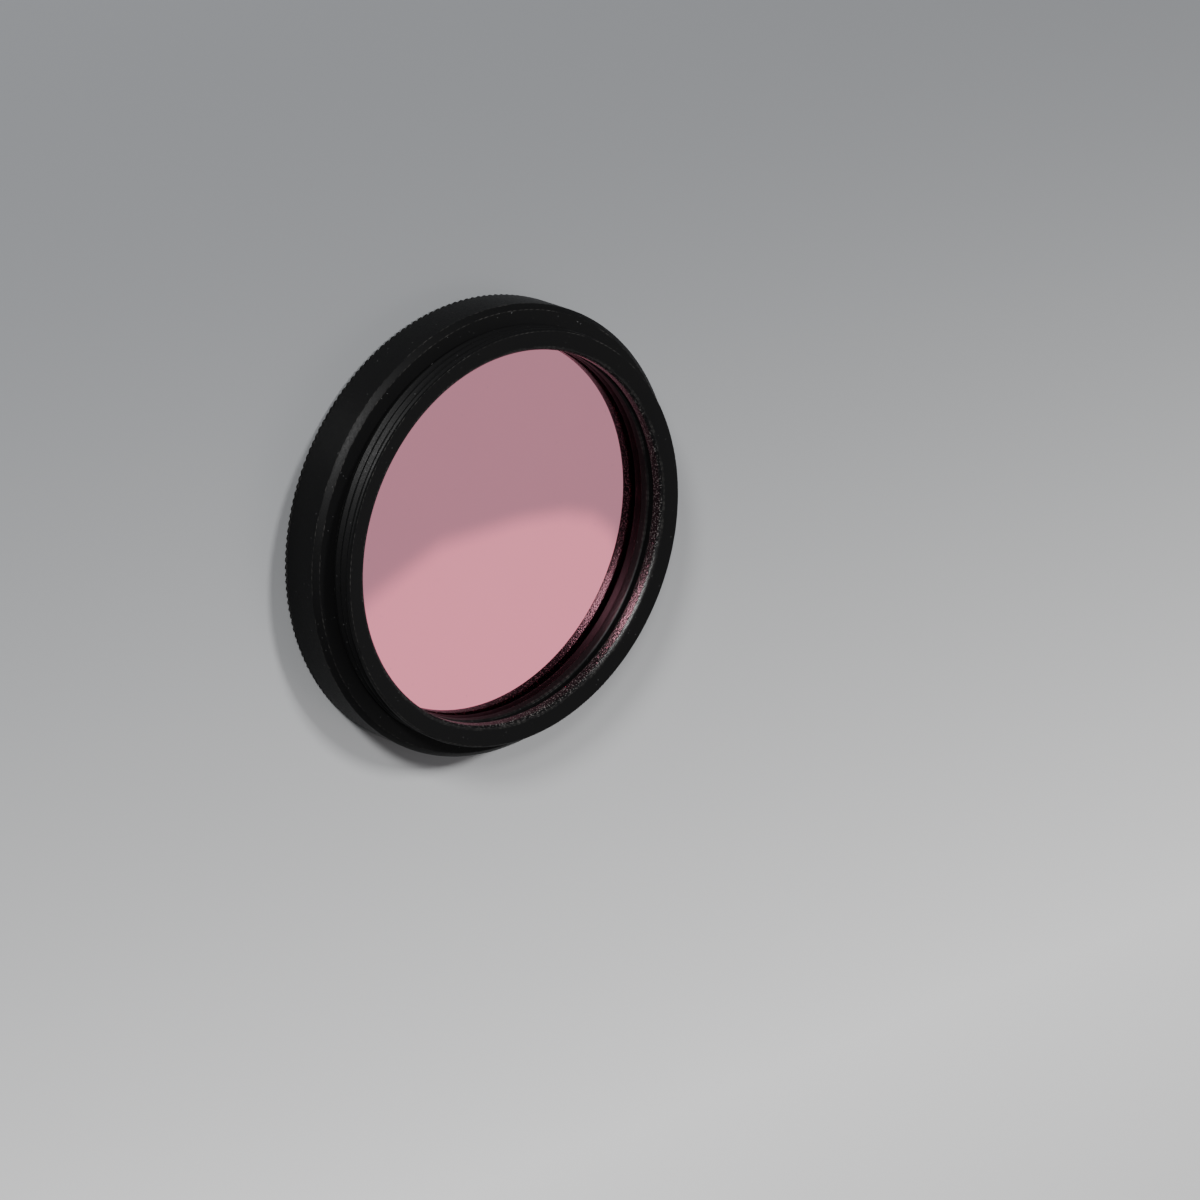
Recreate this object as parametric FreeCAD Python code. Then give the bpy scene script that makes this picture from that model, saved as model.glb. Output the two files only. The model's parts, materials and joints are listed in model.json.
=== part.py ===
import FreeCAD, Part
import math
import os

from FreeCAD import Vector

# A round screw-in optical filter for a 1.25 inch eyepiece barrel, lying on its rear face.
# The axis is Z, the rear face is at z = 0 and the threaded collar points up.
# All lengths are in millimetres.

# Diameters step outward and inward from the filter thread by these widths.
# The thread has a pitch of 0.6 and is left as a plain cylinder at its full diameter.
thread_diameter = 28.5
thread_clearance = 0.05
flange_wall = 1.24
step_width = 0.75
pocket_step = 0.15
glass_side_clearance = 0.1
lip_width = 0.48
ring_width = 0.8

# Heights of the cell's flange and collar, and how far the mouth and the glass lie below its rim
flange_height = 3.38
collar_height = 1.88
mouth_below_front = 0.2
glass_below_front = 2.26

# Edges of the flange, and the fine straight knurl on its rear rim
knurl_teeth = 196
knurl_depth = 0.14
knurl_below_band = 0.02
knurl_height = 0.3
front_chamfer = 0.36
rear_chamfer = 0.1
rear_mouth_chamfer = 0.2

# Collar edge and the thread's run-out groove
collar_edge_break = 0.1
runout_width = 0.25
runout_depth = 0.25

# Front bore, with a turned groove that stops stray light
mouth_chamfer = 0.17
groove_below_front = 1.06
groove_width = 0.53
groove_depth = 0.5
groove_lower_chamfer = 0.08

# Glass disc and the threaded retaining ring behind it, with two notches for a spanner
glass_thickness = 1.1
glass_bevel = 0.12
glass_out_of_pocket = 0.1
ring_thickness = 0.7
ring_below_step = 0.05
ring_edge_break = 0.1
notch_count = 2
notch_width = 1.2
notch_depth = 0.45

# Radii worked out from the sizes above
thread_radius = thread_diameter / 2
rear_bore_radius = thread_radius + thread_clearance
flange_radius = rear_bore_radius + flange_wall
knurl_crest_radius = flange_radius - knurl_below_band
knurl_root_radius = knurl_crest_radius - knurl_depth
ring_seat_radius = rear_bore_radius - step_width
ring_radius = ring_seat_radius - thread_clearance
ring_bore_radius = ring_radius - ring_width
pocket_radius = ring_seat_radius - pocket_step
glass_radius = pocket_radius - glass_side_clearance
aperture_radius = glass_radius - lip_width

# Heights worked out from the sizes above
knurl_top_z = rear_chamfer + knurl_height
band_top_z = flange_height - front_chamfer
front_z = flange_height + collar_height
mouth_z = front_z - mouth_below_front
lip_z = front_z - glass_below_front
glass_rear_z = lip_z - glass_thickness
pocket_floor_z = glass_rear_z + glass_out_of_pocket
ring_rear_z = glass_rear_z - ring_thickness
rear_thread_end_z = ring_rear_z - ring_below_step
groove_top_z = front_z - groove_below_front
groove_floor_z = groove_top_z - groove_width


def turned(profile):
    """Turn a closed outline of (radius, height) points around Z."""
    corners = [Vector(radius, 0, height) for radius, height in profile]
    outline = Part.makePolygon(corners + corners[:1])
    return Part.Face(outline).revolve(Vector(0, 0, 0), Vector(0, 0, 1), 360)


def knurled_rim():
    """Straight-knurled rim at the rear of the flange, with V-shaped teeth."""
    pitch = 2 * math.pi / knurl_teeth
    corners = []
    for tooth in range(knurl_teeth):
        for radius, angle in (
            (knurl_crest_radius, tooth * pitch),
            (knurl_root_radius, (tooth + 0.5) * pitch),
        ):
            corners.append(Vector(radius * math.cos(angle), radius * math.sin(angle), rear_chamfer))
    outline = Part.makePolygon(corners + corners[:1])
    return Part.Face(outline).extrude(Vector(0, 0, knurl_height))


def flange():
    """Flange with a plain band, a chamfer in front and the knurled rim behind."""
    rear_edge = turned([
        (0, 0),
        (knurl_root_radius - rear_chamfer, 0),
        (knurl_root_radius, rear_chamfer),
        (0, rear_chamfer),
    ])
    band = turned([
        (0, knurl_top_z),
        (flange_radius, knurl_top_z),
        (flange_radius, band_top_z),
        (flange_radius - front_chamfer, flange_height),
        (0, flange_height),
    ])
    return knurled_rim().fuse([rear_edge, band])


def collar():
    """Threaded collar with a run-out groove at its root and a slightly dished front face."""
    return turned([
        (0, flange_height),
        (thread_radius - runout_depth, flange_height),
        (thread_radius - runout_depth, flange_height + runout_width),
        (thread_radius, flange_height + runout_width),
        (thread_radius, front_z - collar_edge_break),
        (thread_radius - collar_edge_break, front_z),
        (aperture_radius + mouth_chamfer, mouth_z),
        (0, mouth_z),
    ])


def light_path():
    """All that is bored out of the cell: front bore, glass pocket, ring thread and rear thread."""
    groove_radius = aperture_radius + groove_depth
    return turned([
        (0, 0),
        (rear_bore_radius + rear_mouth_chamfer, 0),
        (rear_bore_radius, rear_mouth_chamfer),
        (rear_bore_radius, rear_thread_end_z),
        (ring_seat_radius, rear_thread_end_z),
        (ring_seat_radius, pocket_floor_z),
        (pocket_radius, pocket_floor_z),
        (pocket_radius, lip_z),
        (aperture_radius, lip_z),
        (aperture_radius, groove_floor_z - groove_lower_chamfer),
        (aperture_radius + groove_lower_chamfer, groove_floor_z),
        (groove_radius, groove_floor_z),
        (groove_radius, groove_top_z),
        (aperture_radius, groove_top_z),
        (aperture_radius, mouth_z - mouth_chamfer),
        (aperture_radius + mouth_chamfer, mouth_z),
        (0, mouth_z),
    ])


def filter_cell():
    """The one-piece metal cell."""
    return flange().fuse(collar()).cut(light_path()).removeSplitter()


def filter_glass():
    """Glass disc with bevelled edges, seated against the cell's lip."""
    return turned([
        (0, glass_rear_z),
        (glass_radius - glass_bevel, glass_rear_z),
        (glass_radius, glass_rear_z + glass_bevel),
        (glass_radius, lip_z - glass_bevel),
        (glass_radius - glass_bevel, lip_z),
        (0, lip_z),
    ])


def retaining_ring():
    """Threaded ring screwed in from the rear against the glass, notched on its rear face."""
    body = turned([
        (ring_bore_radius + ring_edge_break, ring_rear_z),
        (ring_radius - ring_edge_break, ring_rear_z),
        (ring_radius, ring_rear_z + ring_edge_break),
        (ring_radius, glass_rear_z),
        (ring_bore_radius, glass_rear_z),
        (ring_bore_radius, ring_rear_z + ring_edge_break),
    ])
    corner = Vector(0, -notch_width / 2, ring_rear_z)
    for number in range(notch_count):
        notch = Part.makeBox(ring_radius, notch_width, notch_depth, corner)
        notch.rotate(Vector(0, 0, 0), Vector(0, 0, 1), 360 * number / notch_count)
        body = body.cut(notch)
    return body


def main():
    os.makedirs("parts", exist_ok=True)
    for name, make in (
        ("filter_cell", filter_cell),
        ("filter_glass", filter_glass),
        ("retaining_ring", retaining_ring),
    ):
        shape = make()
        shape.exportStep(f"parts/{name}.step")
        box = shape.BoundBox
        print(
            f"{name}: {len(shape.Solids)} solid, {shape.Volume:.2f} mm3, "
            f"z {box.ZMin:.2f} to {box.ZMax:.2f}, width {box.XLength:.2f}, valid {shape.isValid()}"
        )


main()
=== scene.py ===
import json
import math
import bpy
from mathutils import Matrix, Vector


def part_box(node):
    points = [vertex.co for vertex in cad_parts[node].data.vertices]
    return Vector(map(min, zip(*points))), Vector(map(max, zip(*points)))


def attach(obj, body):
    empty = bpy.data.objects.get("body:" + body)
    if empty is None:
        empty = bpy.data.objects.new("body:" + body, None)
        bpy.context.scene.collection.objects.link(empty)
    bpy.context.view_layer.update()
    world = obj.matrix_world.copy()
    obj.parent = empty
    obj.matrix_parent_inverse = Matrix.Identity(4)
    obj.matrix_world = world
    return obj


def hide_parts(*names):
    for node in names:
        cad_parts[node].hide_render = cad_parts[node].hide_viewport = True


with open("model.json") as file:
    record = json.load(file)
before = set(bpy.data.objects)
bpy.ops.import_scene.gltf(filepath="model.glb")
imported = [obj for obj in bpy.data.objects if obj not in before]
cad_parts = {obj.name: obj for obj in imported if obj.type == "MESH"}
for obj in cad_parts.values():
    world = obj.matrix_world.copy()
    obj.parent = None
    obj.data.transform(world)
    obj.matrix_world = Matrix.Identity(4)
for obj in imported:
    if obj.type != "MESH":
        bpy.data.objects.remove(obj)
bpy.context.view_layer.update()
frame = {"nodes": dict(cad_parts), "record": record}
mm = 0.001  # the cell's shape is written in millimetres, lights and floor in metres
noiseSpread = (0.3, 0.7)  # nearly all of a noise lies between these values
print("frame loaded:", ", ".join(sorted(frame["nodes"])))


def addObject(name, data):
    piece = bpy.data.objects.new(name, data)
    bpy.context.scene.collection.objects.link(piece)
    return piece


def storeValues(mesh, label, values):
    layer = mesh.attributes.new(label, "FLOAT", "POINT")
    layer.data.foreach_set("value", values)


# How the turned cell is cut. Outer sizes and seats come from the frame, these are the details.
cellShape = {
    "flangeHeight": 3.38,
    "frontChamfer": 0.36,
    "rearChamfer": 0.1,
    "rearMouth": 0.2,
    "teeth": 196,  # fine knurl on the rear rim
    "toothDepth": 0.14,
    "toothCrest": 0.26,  # share of a tooth's pitch that stays flat on top
    "toothBelowBand": 0.02,
    "toothLean": 0.5,  # how far the teeth lean back at their rear end
    "rimHeight": 0.3,
    "rimStep": 0.03,
    "rimWear": 0.5,  # how far the front ends of the teeth are rubbed, where 1 is a whole edge
    "threadPitch": 0.6,
    "threadDepth": 0.22,
    "threadCrest": 0.13,  # share of a turn that stays flat on the crest
    "threadRoot": 0.2,  # and in the root
    "threadRow": 0.03,  # spacing of the rows that carry the collar's thread
    "rearThreadRow": 0.048,
    "threadFade": 0.18,  # the thread runs out over this length at either end
    "threadAtFoot": 0.2,  # share of its depth that is left at its foot
    "threadAtEnd": 0.4,
    "rearThreadEdge": 0.1,  # the step behind the ring ends this much inside the rear thread
    "runoutWidth": 0.25,
    "runoutDepth": 0.25,
    "collarEdge": 0.1,
    "mouthBelowFront": 0.2,
    "mouthChamfer": 0.17,
    "apertureRadius": 12.82,
    "grooveBelowFront": 1.06,
    "grooveWidth": 0.53,
    "grooveDepth": 0.5,
    "grooveLowerChamfer": 0.08,
    "pocketGap": 0.1,
    "pocketShort": 0.1,
    "ringSeatGap": 0.05,
    "threadGrain": 0.04,  # how grainy the surface is, where 1 is the blasted front bore
    "mouthGrain": 0.6,
    "grooveGrain": 0.3,
    "grainOnFace": 0.08,  # share of the front face over which the mouth's grain fades
    "edgeRound": 0.04,  # how far each turned edge is broken
    "sharpAngle": 30,
}


def mountRadius(name):
    mounts = {m["name"]: m for m in frame["record"]["mounts"]}
    return mounts[name]["dims"]["r_mm"]


def nodeSize(node):
    low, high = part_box(node)
    return high.x / mm, low.z / mm, high.z / mm  # radius, lowest and highest height


def softCorner(before, corner, after, size):
    # three points that round a corner, no more than a third of the way along either side
    here = Vector(corner)
    points = []
    for other in (before, after):
        side = Vector(other) - here
        points.append(here + side.normalized() * min(size, side.length / 3))
    middle = (points[0] + points[1] + here * 2) / 4
    return [tuple(points[0]), tuple(middle), tuple(points[1])]


def roundedRows(rows, shape):
    # breaks the turned edges, and adds to each row how far it is rubbed, from 0 to 1
    rounded = []
    for i, (kind, radius, height, grainy) in enumerate(rows):
        before, after = rows[i - 1], rows[(i + 1) % len(rows)]
        if kind == "plain" and "rim" not in before[0] + after[0]:
            corner = softCorner(before[1:3], (radius, height), after[1:3], shape["edgeRound"])
            for (r, z), wear in zip(corner, (0, 1, 0)):
                rounded.append((kind, r, z, grainy, wear))
        else:
            wear = shape["rimWear"] if kind == "rimFront" else 0
            rounded.append((kind, radius, height, grainy, wear))
    return rounded


def threadRows(kind, radius, start, end, spacing, grainy):
    count = max(2, round(abs(end - start) / spacing))
    heights = [start + (end - start) * i / count for i in range(count + 1)]
    return [(kind, radius, height, grainy) for height in heights]


def cellRows(shape):
    # rows once round the section: kind, radius, height and how grainy the surface is there
    outer, _, top = nodeSize("filter_cell")
    glassRadius, glassRear, lip = nodeSize("filter_glass")
    ringRadius, ringRear, _ = nodeSize("retaining_ring")
    thread, rearThread = mountRadius("male_thread"), mountRadius("rear_thread")
    flangeTop = shape["flangeHeight"]
    crest = outer - shape["toothBelowBand"]
    rimTop = shape["rearChamfer"] + shape["rimHeight"]
    pocket = glassRadius + shape["pocketGap"]
    seat = ringRadius + shape["ringSeatGap"]
    step = ringRear - shape["ringSeatGap"]
    shelf = glassRear + shape["pocketShort"]
    bore = shape["apertureRadius"]
    mouth = top - shape["mouthBelowFront"]
    threadFoot = flangeTop + shape["runoutWidth"]
    threadTop = top - shape["collarEdge"]
    threadGrain = shape["threadGrain"]
    runout = thread - shape["runoutDepth"]
    grooveTop = top - shape["grooveBelowFront"]
    grooveFloor = grooveTop - shape["grooveWidth"]
    grooveGrain = shape["grooveGrain"]
    lowerEdge = shape["grooveLowerChamfer"]
    mouthEdge = Vector((bore + shape["mouthChamfer"], mouth))
    collarEdge = Vector((thread - shape["collarEdge"], top))
    faceInside = mouthEdge.lerp(collarEdge, shape["grainOnFace"])
    outside = [
        ("plain", rearThread + shape["rearMouth"], 0, 0),
        ("plain", crest - shape["toothDepth"] - shape["rearChamfer"], 0, 0),
        ("rimRear", crest, shape["rearChamfer"], 0),
        ("rimFront", crest, rimTop, 0),
        ("plain", outer, rimTop + shape["rimStep"], 0),
        ("plain", outer, flangeTop - shape["frontChamfer"], 0),
        ("plain", outer - shape["frontChamfer"], flangeTop, 0),
        ("plain", runout, flangeTop, 0),
        ("plain", runout, (flangeTop + threadFoot) / 2, 0),
    ]
    collar = threadRows("collarThread", thread, threadFoot, threadTop,
                        shape["threadRow"], threadGrain)
    inside = [
        ("plain", thread - shape["collarEdge"], top, 0),
        ("plain", *faceInside, 0),
        ("plain", bore + shape["mouthChamfer"], mouth, shape["mouthGrain"]),
        ("plain", bore, mouth - shape["mouthChamfer"], 1),
        ("plain", bore, grooveTop, 1),
        ("plain", bore + shape["grooveDepth"], grooveTop, 0),
        ("plain", bore + shape["grooveDepth"], grooveFloor, 0),
        ("plain", bore + lowerEdge, grooveFloor, grooveGrain),
        ("plain", bore, grooveFloor - lowerEdge, grooveGrain),
        ("plain", bore, grooveFloor - lowerEdge * 2, 0),
        ("plain", bore, lip, 0),
        ("plain", pocket, lip, 0),
        ("plain", pocket, shelf, 0),
        ("plain", seat, shelf, 0),
        ("plain", seat, step, 0),
        ("plain", rearThread - shape["rearThreadEdge"], step, 0),
    ]
    rear = threadRows("rearThread", rearThread, step, shape["rearMouth"],
                      shape["rearThreadRow"], threadGrain)
    return roundedRows(outside + collar + inside + rear, shape)


def toothColumns(shape):
    # three angles for each tooth, with the share of its depth that is cut away there
    pitch = 2 * math.pi / shape["teeth"]
    crest = shape["toothCrest"] / 2
    return [((tooth + place) * pitch, cut)
            for tooth in range(shape["teeth"])
            for place, cut in ((-crest, 0), (crest, 0), (0.5, 1))]


def threadCut(turn, shape):
    # depth of a 60 degree thread, 0 on the crest and 1 in the root
    away = abs((turn % 1) * 2 - 1)
    flank = 1 - shape["threadCrest"] - shape["threadRoot"]
    return min(1, max(0, (away - shape["threadCrest"]) / flank))


def threadFade(kind, height, shape):
    # share of the full depth that the thread has at this height, less towards its ends
    foot, end = shape["rearMouth"], math.inf  # the rear thread runs right on to the step
    if kind == "collarThread":
        foot, end = shape["flangeHeight"] + shape["runoutWidth"], shape["collarTop"]
    atFoot = abs(height - foot) / shape["threadFade"] + shape["threadAtFoot"]
    atEnd = abs(end - height) / shape["threadFade"] + shape["threadAtEnd"]
    return min(1, atFoot, atEnd)


def placeOnCell(row, column, shape):
    kind, radius, height = row[:3]
    angle, cut = column
    if "rim" in kind:
        radius -= cut * shape["toothDepth"]
        if kind == "rimRear":
            height += (1 - cut) * shape["toothDepth"] * shape["toothLean"]
    elif "Thread" in kind:
        turn = height / shape["threadPitch"] - angle / (2 * math.pi)
        radius -= shape["threadDepth"] * threadFade(kind, height, shape) * threadCut(turn, shape)
    return (radius * mm * math.cos(angle), radius * mm * math.sin(angle), height * mm)


def latheMesh(name, rows, columns, shape):
    # closed mesh: the rows go once round the section and the columns once round the axis
    vertices = [placeOnCell(row, column, shape) for column in columns for row in rows]
    high, wide = len(rows), len(columns)
    faces = []
    for c in range(wide):
        n = (c + 1) % wide
        for r in range(high):
            s = (r + 1) % high
            faces.append((c * high + r, n * high + r, n * high + s, c * high + s))
    mesh = bpy.data.meshes.new(name)
    mesh.from_pydata(vertices, [], faces)
    mesh.update()
    mesh.shade_smooth()
    mesh.set_sharp_from_angle(angle=math.radians(shape["sharpAngle"]))
    storeValues(mesh, "grainyBore", [row[3] for column in columns for row in rows])
    storeValues(mesh, "edgeWear", [row[4] * (1 - column[1]) for column in columns for row in rows])
    return mesh


def nodeSet(material):
    material.use_nodes = True
    tree = material.node_tree
    shader = tree.nodes["Principled BSDF"]
    return tree, shader


def addNode(tree, kind, **settings):
    node = tree.nodes.new(kind)
    for name, value in settings.items():
        setattr(node, name, value)
    return node


def meshValue(tree, name):
    return addNode(tree, "ShaderNodeAttribute", attribute_name=name).outputs["Fac"]


def objectPlace(tree):
    return addNode(tree, "ShaderNodeTexCoord").outputs["Object"]


def alongDirection(tree, place, direction):
    node = addNode(tree, "ShaderNodeVectorMath", operation="DOT_PRODUCT")
    node.inputs[1].default_value = direction
    tree.links.new(place, node.inputs[0])
    return node.outputs["Value"]


def turnedCoordinates(tree, place, along, around):
    # radius and height drawn out round the axis, so that a noise becomes turning marks
    split = addNode(tree, "ShaderNodeSeparateXYZ")
    tree.links.new(place, split.inputs[0])
    flat = addNode(tree, "ShaderNodeVectorMath", operation="MULTIPLY")
    flat.inputs[1].default_value = (1, 1, 0)
    tree.links.new(place, flat.inputs[0])
    radius = addNode(tree, "ShaderNodeVectorMath", operation="LENGTH")
    tree.links.new(flat.outputs[0], radius.inputs[0])
    angle = addNode(tree, "ShaderNodeMath", operation="ARCTAN2")
    tree.links.new(split.outputs["Y"], angle.inputs[0])
    tree.links.new(split.outputs["X"], angle.inputs[1])
    joined = addNode(tree, "ShaderNodeCombineXYZ")
    sources = (radius.outputs["Value"], split.outputs["Z"], angle.outputs[0])
    for i, (source, factor) in enumerate(zip(sources, (along, along, around))):
        scaled = addNode(tree, "ShaderNodeMath", operation="MULTIPLY")
        scaled.inputs[1].default_value = factor
        tree.links.new(source, scaled.inputs[0])
        tree.links.new(scaled.outputs[0], joined.inputs[i])
    return joined.outputs[0]


def noise(tree, vector, scale, detail, roughness=0.5):
    node = addNode(tree, "ShaderNodeTexNoise")
    node.inputs["Scale"].default_value = scale
    node.inputs["Detail"].default_value = detail
    node.inputs["Roughness"].default_value = roughness
    tree.links.new(vector, node.inputs["Vector"])
    return node.outputs["Fac"]


def remap(tree, value, fromLow, fromHigh, toLow, toHigh):
    node = addNode(tree, "ShaderNodeMapRange")
    for i, number in enumerate((fromLow, fromHigh, toLow, toHigh)):
        node.inputs[i + 1].default_value = number
    tree.links.new(value, node.inputs[0])
    return node.outputs[0]


def spots(tree, value, edge, soft, strength=1):
    # the peaks of a noise that rise over the edge
    return remap(tree, value, edge, edge + soft, 0, strength)


def times(tree, first, second):
    node = addNode(tree, "ShaderNodeMath", operation="MULTIPLY")
    tree.links.new(first, node.inputs[0])
    tree.links.new(second, node.inputs[1])
    return node.outputs[0]


def blend(tree, share, first, second, kind="FLOAT"):
    # mixes two sockets, or a socket and a constant colour
    node = addNode(tree, "ShaderNodeMix", data_type=kind)
    a, b, result = (6, 7, 2) if kind == "RGBA" else (2, 3, 0)  # the node's sockets for this kind
    for slot, source in ((a, first), (b, second)):
        if isinstance(source, tuple):
            node.inputs[slot].default_value = (*source, 1)
        else:
            tree.links.new(source, node.inputs[slot])
    tree.links.new(share, node.inputs[0])
    return node.outputs[result]


def bump(tree, height, strength, depth, under=None):
    node = addNode(tree, "ShaderNodeBump")
    node.inputs["Distance"].default_value = depth * mm
    tree.links.new(height, node.inputs["Height"])
    if isinstance(strength, float):
        node.inputs["Strength"].default_value = strength
    else:
        tree.links.new(strength, node.inputs["Strength"])
    if under:
        tree.links.new(under, node.inputs["Normal"])
    return node.outputs[0]


def anodiseColour(tree, shader, place, bore, finish):
    # black, rubbed on the edges, with bare glints in the front bore and a few specks
    rub = noise(tree, place, finish["rubPerMetre"], detail=3)
    rubbed = remap(tree, rub, *finish["rubBetween"], 0, finish["rubStrength"])
    worn = times(tree, meshValue(tree, "edgeWear"), rubbed)
    colour = blend(tree, worn, finish["colour"], finish["worn"], "RGBA")
    glints = noise(tree, place, finish["glintsPerMetre"], detail=0)
    bare = spots(tree, glints, finish["glintEdge"], finish["glintSoft"], finish["glintStrength"])
    bare = times(tree, bare, remap(tree, bore, *finish["glintBore"], 0, 1))
    colour = blend(tree, bare, colour, finish["glint"], "RGBA")
    specks = noise(tree, place, finish["specksPerMetre"], detail=0)
    nicked = spots(tree, specks, finish["speckEdge"], finish["speckSoft"])
    colour = blend(tree, nicked, colour, finish["speck"], "RGBA")
    tree.links.new(bare, shader.inputs["Metallic"])
    tree.links.new(colour, shader.inputs["Base Color"])


def blackAnodise(name, finish):
    material = bpy.data.materials.new(name)
    tree, shader = nodeSet(material)
    place = objectPlace(tree)
    bore = meshValue(tree, "grainyBore")
    anodiseColour(tree, shader, place, bore, finish)

    turned = turnedCoordinates(tree, place, finish["marksPerMetre"], finish["marksAround"])
    marks = noise(tree, turned, 1, detail=2)
    grain = noise(tree, place, finish["grainPerMetre"], detail=3, roughness=0.6)
    blast = noise(tree, place, finish["blastPerMetre"], detail=1)
    wall = remap(tree, grain, *noiseSpread, *finish["roughness"])
    grainy = remap(tree, blast, *noiseSpread, *finish["boreRoughness"])
    tree.links.new(blend(tree, bore, wall, grainy), shader.inputs["Roughness"])
    shine = remap(tree, bore, 0, 1, finish["specular"], finish["boreSpecular"])
    tree.links.new(shine, shader.inputs["Specular IOR Level"])

    lines = bump(tree, marks, finish["markStrength"], finish["markDepth"])
    fine = bump(tree, grain, finish["grainStrength"], finish["grainDepth"], lines)
    blasted = remap(tree, bore, 0, 1, 0, finish["blastStrength"])
    tree.links.new(bump(tree, blast, blasted, finish["blastDepth"], fine), shader.inputs["Normal"])
    return material


cellFinish = {
    "colour": (0.0032, 0.0032, 0.0033),
    "roughness": (0.4, 0.56),
    "specular": 0.09,
    "boreRoughness": (0.2, 0.3),  # the blasted front bore
    "boreSpecular": 0.35,
    "marksPerMetre": 9000,  # turning marks
    "marksAround": 1.2,
    "markStrength": 0.35,
    "markDepth": 0.012,
    "grainPerMetre": 9000,
    "grainStrength": 0.4,
    "grainDepth": 0.01,
    "blastPerMetre": 10000,
    "blastStrength": 1.0,
    "blastDepth": 0.035,
    "glint": (0.5, 0.48, 0.46),  # bare metal that sparkles in the front bore
    "glintStrength": 0.14,
    "glintsPerMetre": 9500,
    "glintEdge": 0.62,
    "glintSoft": 0.06,
    "glintBore": (0.5, 1),  # how grainy the surface is where glints begin and where they are full
    "worn": (0.05, 0.048, 0.045),  # rubbed edges
    "rubPerMetre": 900,
    "rubBetween": (0.4, 0.65),
    "rubStrength": 0.6,
    "speck": (0.05, 0.05, 0.05),
    "specksPerMetre": 7000,
    "speckEdge": 0.84,
    "speckSoft": 0.03,
}


def makeCell():
    collarTop = nodeSize("filter_cell")[2] - cellShape["collarEdge"]
    shape = dict(cellShape, collarTop=collarTop)
    mesh = latheMesh("threaded_cell", cellRows(shape), toothColumns(shape), shape)
    mesh.materials.append(blackAnodise("black anodised cell", cellFinish))
    cell = addObject("threaded_cell", mesh)
    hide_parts("filter_cell")
    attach(cell, "root")
    print("cell turned:", len(mesh.polygons), "faces")


ringFinish = dict(cellFinish, colour=(0.004, 0.004, 0.0042), marksPerMetre=12000)


def makeRing():
    ring = frame["nodes"]["retaining_ring"]
    ring.data.materials.clear()
    ring.data.materials.append(blackAnodise("black anodised ring", ringFinish))
    print("retaining ring finished")


glassFinish = {
    "coating": (0.97, 0.4, 0.52),
    "roughness": (0.012, 0.03),
    "metallic": 0.97,
    "ior": 1.52,
    "transmission": 1.0,
    "haze": 0.03,  # how much darker the clouded places are
    "cloudPerMetre": 160,
    "dust": (0.5, 0.3, 0.34),
    "dustPerMetre": 6000,
    "dustEdge": 0.86,
    "dustSoft": 0.03,
}


def coatedGlass(finish):
    material = bpy.data.materials.new("pink coated glass")
    tree, shader = nodeSet(material)
    place = objectPlace(tree)
    cloud = noise(tree, place, finish["cloudPerMetre"], detail=2)
    hazed = tuple(v * (1 - finish["haze"]) for v in finish["coating"])
    colour = blend(tree, cloud, finish["coating"], hazed, "RGBA")
    dust = noise(tree, place, finish["dustPerMetre"], detail=0)
    dusty = spots(tree, dust, finish["dustEdge"], finish["dustSoft"])
    colour = blend(tree, dusty, colour, finish["dust"], "RGBA")
    rough = remap(tree, cloud, *noiseSpread, *finish["roughness"])
    tree.links.new(colour, shader.inputs["Base Color"])
    tree.links.new(rough, shader.inputs["Roughness"])
    shader.inputs["Metallic"].default_value = finish["metallic"]
    shader.inputs["IOR"].default_value = finish["ior"]
    shader.inputs["Transmission Weight"].default_value = finish["transmission"]
    return material


def makeGlass():
    glass = frame["nodes"]["filter_glass"]
    glass.data.materials.clear()
    glass.data.materials.append(coatedGlass(glassFinish))
    print("glass coated")


# The camera looks at the front face from 45 degrees off the axis, rolled as the photo shows it.
view = {
    "offAxis": math.radians(45.01),
    "roll": math.radians(21.43),
    "distance": 300.9 * mm,
    "lens": 135.0,
    "sensor": 36.0,
    "aimRight": -8.81 * mm,  # place of the rear face's centre from the middle of the picture
    "aimUp": 5.28 * mm,
    "nearest": 10 * mm,
}


def cameraAxes():
    back = Vector((0, -math.sin(view["offAxis"]), math.cos(view["offAxis"])))
    lean = (Vector((0, 0, 1)) - back * back.z).normalized()
    side = back.cross(lean)
    right = lean * math.cos(view["roll"]) + side * math.sin(view["roll"])
    up = side * math.cos(view["roll"]) - lean * math.sin(view["roll"])
    return right, up, back


def cameraPlace():
    right, up, back = cameraAxes()
    return back * view["distance"] - right * view["aimRight"] - up * view["aimUp"]


def makeCamera():
    data = bpy.data.cameras.new("camera")
    data.lens = view["lens"]
    data.sensor_width = view["sensor"]
    data.clip_start = view["nearest"]
    camera = addObject("camera", data)
    turn = Matrix(cameraAxes()).transposed().to_4x4()
    camera.matrix_world = Matrix.Translation(cameraPlace()) @ turn
    bpy.context.scene.camera = camera
    print("camera placed")


# Lights stand where the picture's right, up and towards the camera point, in metres.
# One without shine gives light but no highlight.
lights = {
    "flash": {"at": (0.028, 0.056, 0.31), "size": 0.04, "power": 0.5, "shine": True},
    "key": {"at": (-0.055, 0.14, 0.477), "size": 0.08, "power": 2.6, "shine": True},
    "back": {"at": (0.391, 0.138, 0.28), "size": 0.08, "power": 2.6, "shine": False},
}


def makeLights():
    right, up, back = cameraAxes()
    for name, light in lights.items():
        data = bpy.data.lights.new(name, "AREA")
        data.shape = "DISK"
        data.size = light["size"]
        data.energy = light["power"]
        lamp = addObject(name, data)
        x, y, z = light["at"]
        lamp.location = right * x + up * y + back * z
        lamp.rotation_euler = lamp.location.to_track_quat("Z", "Y").to_euler()
        lamp.visible_glossy = light["shine"]
    print("lights placed")


roomLight = {
    "bright": (0.56, 0.56, 0.565),
    "dark": (0.072, 0.076, 0.084),
    "towards": (0, 0.707, 0.707),  # the bright side of the room, which the glass mirrors
    "spread": (0.6, 0.96),  # cosines from it where dark begins to turn bright and where it has
}


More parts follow.
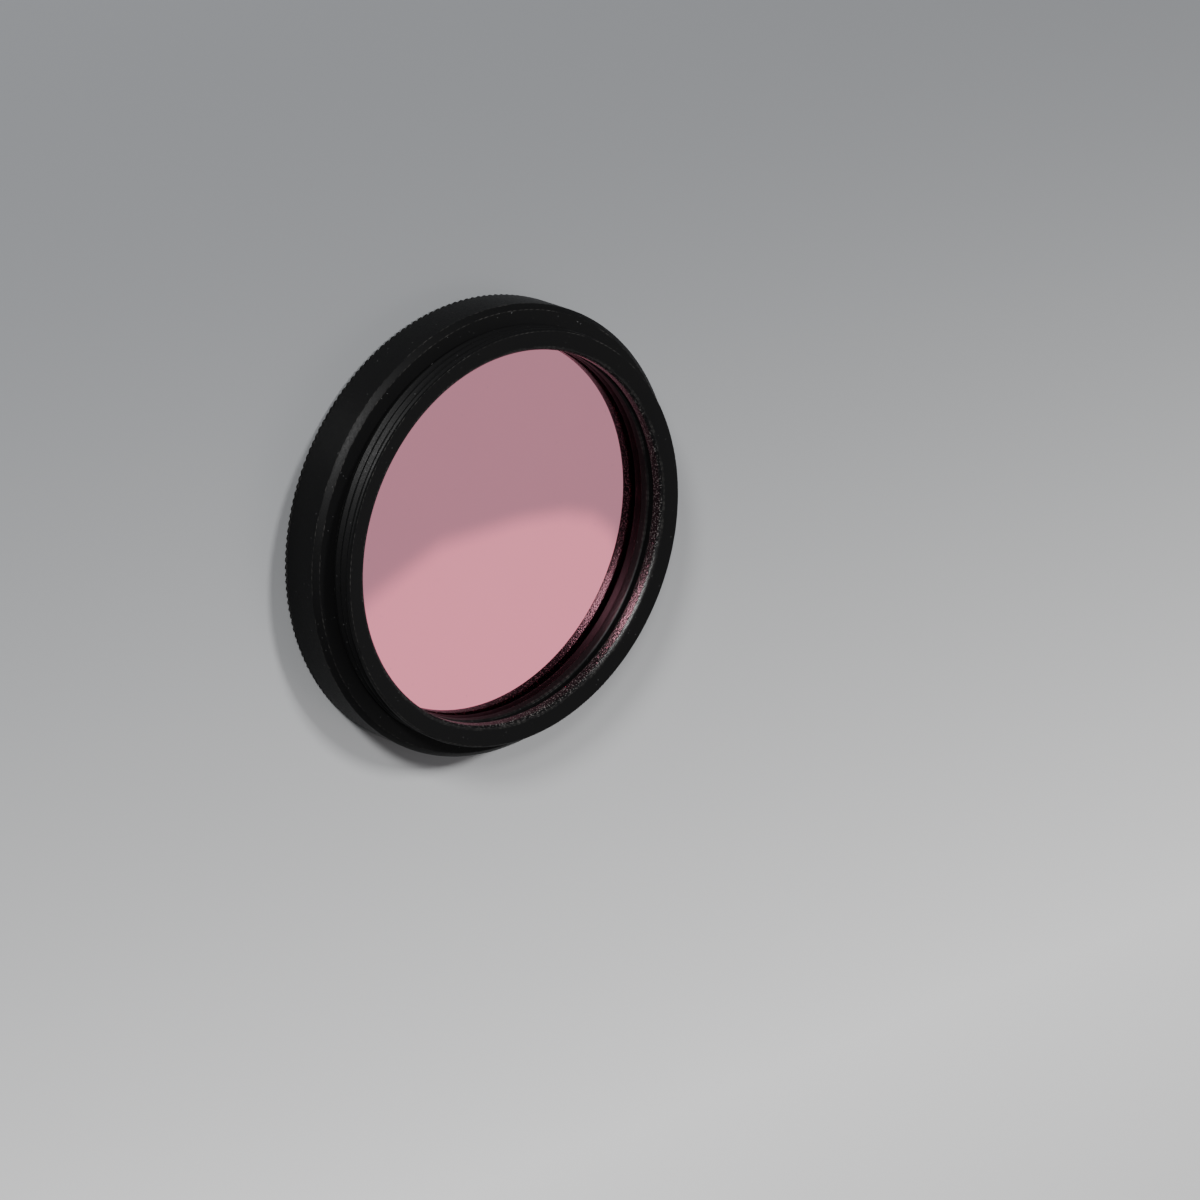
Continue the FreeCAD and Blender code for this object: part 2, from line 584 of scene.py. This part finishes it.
def makeRoom():
    world = bpy.data.worlds.new("room")
    world.use_nodes = True
    tree = world.node_tree
    direction = addNode(tree, "ShaderNodeTexCoord").outputs["Generated"]
    facing = alongDirection(tree, direction, roomLight["towards"])
    rise = remap(tree, facing, *roomLight["spread"], 0, 1)
    wall = blend(tree, rise, roomLight["dark"], roomLight["bright"], "RGBA")
    tree.links.new(wall, tree.nodes["Background"].inputs[0])
    bpy.context.scene.world = world
    print("room lit")


# A soft card that the coating mirrors as the brighter lower part of the glass. It stands in the
# mirrored line of sight, and its edge and middle are given as points in the picture.
card = {
    "picture": 1200,  # width and height of the picture
    "edge": ((250, 690), (330, 640), (370, 600), (440, 545), (520, 520), (565, 513), (595, 517),
             (612, 532), (624, 565), (634, 620), (642, 720)),
    "middle": (480, 860),
    "steps": 48,  # along the edge
    "soft": 14,  # half the width of the soft edge
    "softRows": 4,  # on either side of it
    "behind": 0.26,
    "glow": (1.165, 0.85, 0.885),
}


def mirroredSight():
    # the camera's place and its right, up and forward directions, as the glass mirrors them
    right, up, back = cameraAxes()
    flip = Vector((1, 1, -1))
    glassTop = nodeSize("filter_glass")[2] * mm
    eye = cameraPlace()
    eye.z = 2 * glassTop - eye.z
    return eye, right * flip, up * flip, -back * flip


def cardEdge():
    # points spread evenly along the edge
    edge = [Vector(point) for point in card["edge"]]
    lengths = [0]
    for a, b in zip(edge, edge[1:]):
        lengths.append(lengths[-1] + (b - a).length)
    points = []
    for i in range(card["steps"] + 1):
        s = lengths[-1] * i / card["steps"]
        k = max(j for j in range(len(edge) - 1) if lengths[j] <= s)
        points.append(edge[k].lerp(edge[k + 1], (s - lengths[k]) / (lengths[k + 1] - lengths[k])))
    return points


def cardMesh():
    # a fan from the edge to the middle, which begins to glow over the rows of the soft edge
    eye, right, up, ahead = mirroredSight()
    far = view["distance"] + card["behind"]
    focal = card["picture"] * view["lens"] / view["sensor"]
    centre = card["picture"] / 2

    def onCard(x, y):
        return eye + ahead * far + (right * (x - centre) - up * (y - centre)) * (far / focal)

    half = card["softRows"]
    middle = Vector(card["middle"])
    vertices, glow, faces = [], [], []
    for point in cardEdge():
        inward = (middle - point).normalized()
        for step in range(-half, half + 1):
            vertices.append(onCard(*(point + inward * card["soft"] * step / half)))
            t = (step + half) / (2 * half)
            glow.append(t * t * (3 - 2 * t))
        vertices.append(onCard(*middle))
        glow.append(1)
    rows = 2 * half + 2
    for i in range(card["steps"]):
        for j in range(rows - 1):
            a, b = i * rows + j, (i + 1) * rows + j
            faces.append((a, b, b + 1, a + 1) if j < rows - 2 else (a, b, b + 1))
    mesh = bpy.data.meshes.new("soft card")
    mesh.from_pydata(vertices, [], faces)
    storeValues(mesh, "glow", glow)
    return mesh


def cardGlow():
    material = bpy.data.materials.new("soft card")
    tree, shader = nodeSet(material)
    tree.nodes.remove(shader)
    light = addNode(tree, "ShaderNodeEmission")
    light.inputs[0].default_value = (*card["glow"], 1)
    clear = addNode(tree, "ShaderNodeBsdfTransparent")
    mixed = addNode(tree, "ShaderNodeMixShader")
    tree.links.new(meshValue(tree, "glow"), mixed.inputs[0])
    tree.links.new(clear.outputs[0], mixed.inputs[1])
    tree.links.new(light.outputs[0], mixed.inputs[2])
    tree.links.new(mixed.outputs[0], tree.nodes["Material Output"].inputs[0])
    return material


def makeCard():
    mesh = cardMesh()
    mesh.materials.append(cardGlow())
    piece = addObject("soft card", mesh)
    piece.visible_camera = False
    piece.visible_diffuse = False
    piece.visible_shadow = False
    print("soft card set up")


# The floor's colour carries painted light and shade: it is darker and slightly blue far off and
# brighter near, the fall-off that lamps would give.
floorFinish = {
    "size": 1.6,
    "far": (0.128, 0.133, 0.14),
    "near": (0.625, 0.625, 0.625),
    "across": (0.874, 0.485, 0),  # direction of the painted light falloff, from the dark far side to the bright near side
    "reach": (-0.04, 0.05),  # where the rise begins and ends
    "rise": 2.0,
    "roughness": 0.3,
}


def floorWithPaintedFalloff(finish):
    material = bpy.data.materials.new("pale glossy floor")
    tree, shader = nodeSet(material)
    across = alongDirection(tree, objectPlace(tree), finish["across"])
    curve = addNode(tree, "ShaderNodeMath", operation="POWER")
    curve.inputs[1].default_value = finish["rise"]
    tree.links.new(remap(tree, across, *finish["reach"], 0, 1), curve.inputs[0])
    # painted light falloff: the floor's colour runs from the dark far tone to the bright near tone
    colour = blend(tree, curve.outputs[0], finish["far"], finish["near"], "RGBA")
    tree.links.new(colour, shader.inputs["Base Color"])
    shader.inputs["Roughness"].default_value = finish["roughness"]
    return material


def makeFloor():
    half = floorFinish["size"] / 2
    corners = [(-half, -half, 0), (half, -half, 0), (half, half, 0), (-half, half, 0)]
    mesh = bpy.data.meshes.new("floor")
    mesh.from_pydata(corners, [], [(0, 1, 2, 3)])
    mesh.materials.append(floorWithPaintedFalloff(floorFinish))
    floor = addObject("floor", mesh)
    print("floor laid")


makeCell()
makeRing()
makeGlass()
makeCamera()
makeLights()
makeRoom()
makeCard()
makeFloor()
